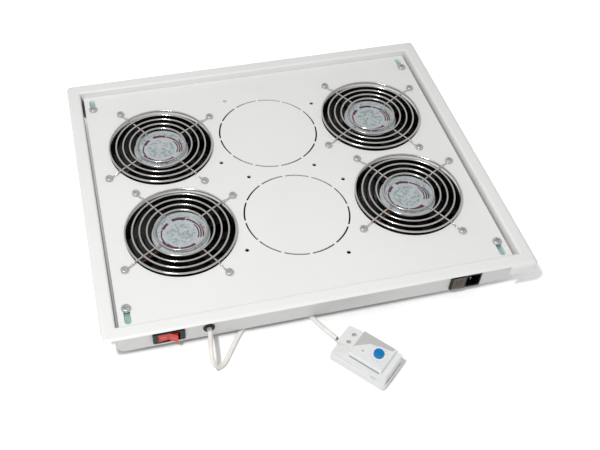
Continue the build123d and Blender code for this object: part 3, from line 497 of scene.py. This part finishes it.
def off_mark():
    """Oval ring, slightly raised."""
    bpy.ops.object.select_all(action="DESELECT")
    bpy.ops.mesh.primitive_circle_add(vertices=40, radius=OVAL_R, fill_type="NGON")
    bpy.ops.object.mode_set(mode="EDIT")
    bpy.ops.mesh.select_all(action="SELECT")
    bpy.ops.transform.resize(value=(OVAL_STRETCH, 1.0, 1.0))
    bpy.ops.mesh.inset(thickness=OVAL_LINE)
    bpy.ops.mesh.delete(type="FACE")
    bpy.ops.mesh.select_all(action="SELECT")
    bpy.ops.mesh.extrude_region_move(TRANSFORM_OT_translate={"value": (0.0, 0.0, OVAL_RAISE)})
    finish_mark("rocker_off_mark", face_frame(-1))


def on_mark():
    """Straight bar, slightly raised, with softened edges."""
    bpy.ops.object.select_all(action="DESELECT")
    bpy.ops.mesh.primitive_cube_add(size=1.0)
    bpy.ops.object.mode_set(mode="EDIT")
    bpy.ops.mesh.select_all(action="SELECT")
    bpy.ops.transform.resize(value=BAR_SIZE)
    bpy.ops.mesh.bevel(offset=BAR_SOFTENING, segments=2)
    finish_mark("rocker_on_mark", face_frame(1))


off_mark()
on_mark()


# Floor and light

FLOOR_SIZE = 30.0
FLOOR_DROP = 0.0002
FLOOR_WHITE = (0.93, 0.93, 0.93)
PAINTED_SHADE_UNDER_TRAY = (0.02, 0.02, 0.02)
UNDER_TRAY_X = (0.193, 0.203)
UNDER_TRAY_Y = (0.158, 0.168)
GLOW_MIDDLE = (-0.05, -0.21)
SKY_ON_PART = 0.50
SKY_SEEN = 1.0
KEY_DIRECTION = (-0.3428, -0.3839, 0.8569)
KEY_DISTANCE = 1.46
KEY_SIZE = 0.10
KEY_POWER = 12.9


def floor():
    """White floor that keeps the shadows, with painted shade (dark colour) in the closed space below the
    tray. It glows to camera and mirror rays, less near the cable and not below the tray.
    """
    bpy.ops.object.select_all(action="DESELECT")
    bpy.ops.mesh.primitive_plane_add(size=FLOOR_SIZE, location=(0.0, 0.0, -FLOOR_DROP))
    plane = bpy.context.object
    plane.name = "floor"
    f = Finish("white_floor", FLOOR_WHITE, roughness=0.9)
    x, y, z = f.axes(f.place)
    # Painted shade: the floor's colour turns dark below the tray, where only shade falls.
    painted_shade_below = f.both(f.span(f.math("ABSOLUTE", x), *UNDER_TRAY_X, to_low=1.0, to_high=0.0),
                   f.span(f.math("ABSOLUTE", y), *UNDER_TRAY_Y, to_low=1.0, to_high=0.0))
    f.set("Base Color", f.mix(painted_shade_below, FLOOR_WHITE, PAINTED_SHADE_UNDER_TRAY))
    f.set("Specular IOR Level", 0.0)
    paths = f.add("ShaderNodeLightPath")
    mirrored = f.math("MAXIMUM", paths.outputs["Is Glossy Ray"], paths.outputs["Is Transmission Ray"])
    seen = f.math("MAXIMUM", paths.outputs["Is Camera Ray"], mirrored)
    beside = f.distance(x, y, GLOW_MIDDLE)
    near = f.span(beside, low=0.12, high=0.26, to_low=0.06, to_high=0.25)
    far = f.span(beside, low=0.35, high=1.10, to_low=0.0, to_high=0.60)
    glow = f.add("ShaderNodeEmission")
    strength = f.both(seen, f.math("SUBTRACT", 1.0, painted_shade_below), f.math("ADD", near, far))
    f.feed(glow.inputs["Strength"], strength)
    lit = f.add("ShaderNodeAddShader")
    f.tree.links.new(f.shader.outputs[0], lit.inputs[0])
    f.tree.links.new(glow.outputs[0], lit.inputs[1])
    f.tree.links.new(lit.outputs[0], f.output.inputs[0])
    plane.data.materials.append(f.material)


def studio_world():
    """Even white sky, brighter to the camera than to the part."""
    world = bpy.data.worlds.new("studio")
    bpy.context.scene.world = world
    world.use_nodes = True
    tree = world.node_tree
    tree.nodes.clear()
    paths = tree.nodes.new("ShaderNodeLightPath")
    seen = tree.nodes.new("ShaderNodeMix")
    seen.data_type = "FLOAT"
    seen.inputs[2].default_value = SKY_ON_PART
    seen.inputs[3].default_value = SKY_SEEN
    sky = tree.nodes.new("ShaderNodeBackground")
    sky.inputs["Color"].default_value = (1.0, 1.0, 1.0, 1.0)
    out = tree.nodes.new("ShaderNodeOutputWorld")
    tree.links.new(paths.outputs["Is Camera Ray"], seen.inputs[0])
    tree.links.new(seen.outputs[0], sky.inputs["Strength"])
    tree.links.new(sky.outputs[0], out.inputs[0])


def key_lamp():
    """Round lamp up to the front left, aimed at the tray."""
    data = bpy.data.lights.new("key", "AREA")
    data.shape = "DISK"
    data.size = KEY_SIZE
    data.energy = KEY_POWER
    lamp = bpy.data.objects.new("key", data)
    way = Vector(KEY_DIRECTION).normalized()
    lamp.location = way * KEY_DISTANCE
    lamp.rotation_euler = way.to_track_quat("Z", "Y").to_euler()
    bpy.context.scene.collection.objects.link(lamp)


floor()
studio_world()
key_lamp()
bpy.context.scene.view_settings.view_transform = "Standard"
